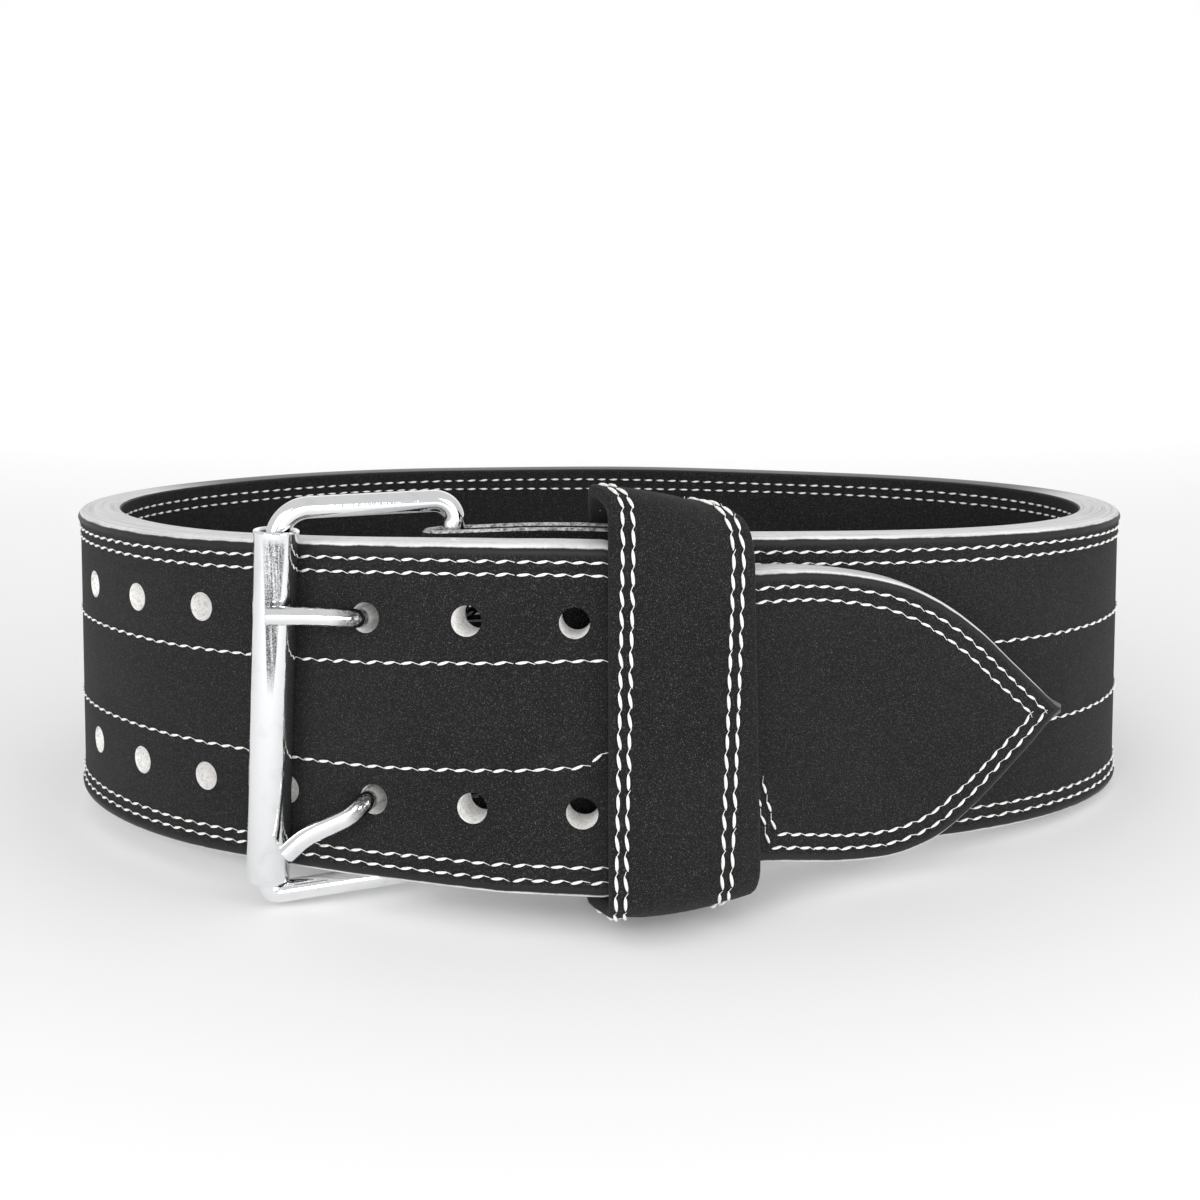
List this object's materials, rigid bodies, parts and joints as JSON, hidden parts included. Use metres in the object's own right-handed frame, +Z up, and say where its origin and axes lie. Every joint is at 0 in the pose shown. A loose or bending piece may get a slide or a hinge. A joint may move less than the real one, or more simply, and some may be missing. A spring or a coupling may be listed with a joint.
{
  "type": "weightlifting belt",
  "caption": "Thick suede-faced leather lifting belt, closed in a loop by a prong buckle with a roller and a wide leather keeper; it braces the waist in heavy lifts.",
  "frame": {"origin": "centre of the belt's box in plan, on the floor that its lower edge and its buckle stand on", "axes": "+Z up, from the lower edge to the upper one; the buckle and the tongue are at the front, towards -Y, and the tongue points to +X"},
  "size_m": [0.3898, 0.277, 0.128],
  "materials": {
    "suede": "napped suede, matt, charcoal black",
    "fold_leather": "napped suede with pale cut edges",
    "chrome": "polished, with fine scratches",
    "edge_paint": "light grey painted edge, satin",
    "thread": "waxed white thread"
  },
  "bodies": {
    "belt": {"belt_strap": "suede", "buckle_fold": "fold_leather", "keeper": "suede", "buckle_frame": "chrome", "prong_upper": "chrome", "prong_lower": "chrome"},
    "roller": {"buckle_roller": "chrome"}
  },
  "joints": [
    {"name": "roller_spin", "type": "hinge", "parent": "belt", "child": "roller", "pos_m": [-0.09919, -0.10963, 0.06225], "axis": [0.0589, 0.0092, 0.9982], "continuous": true}
  ]
}
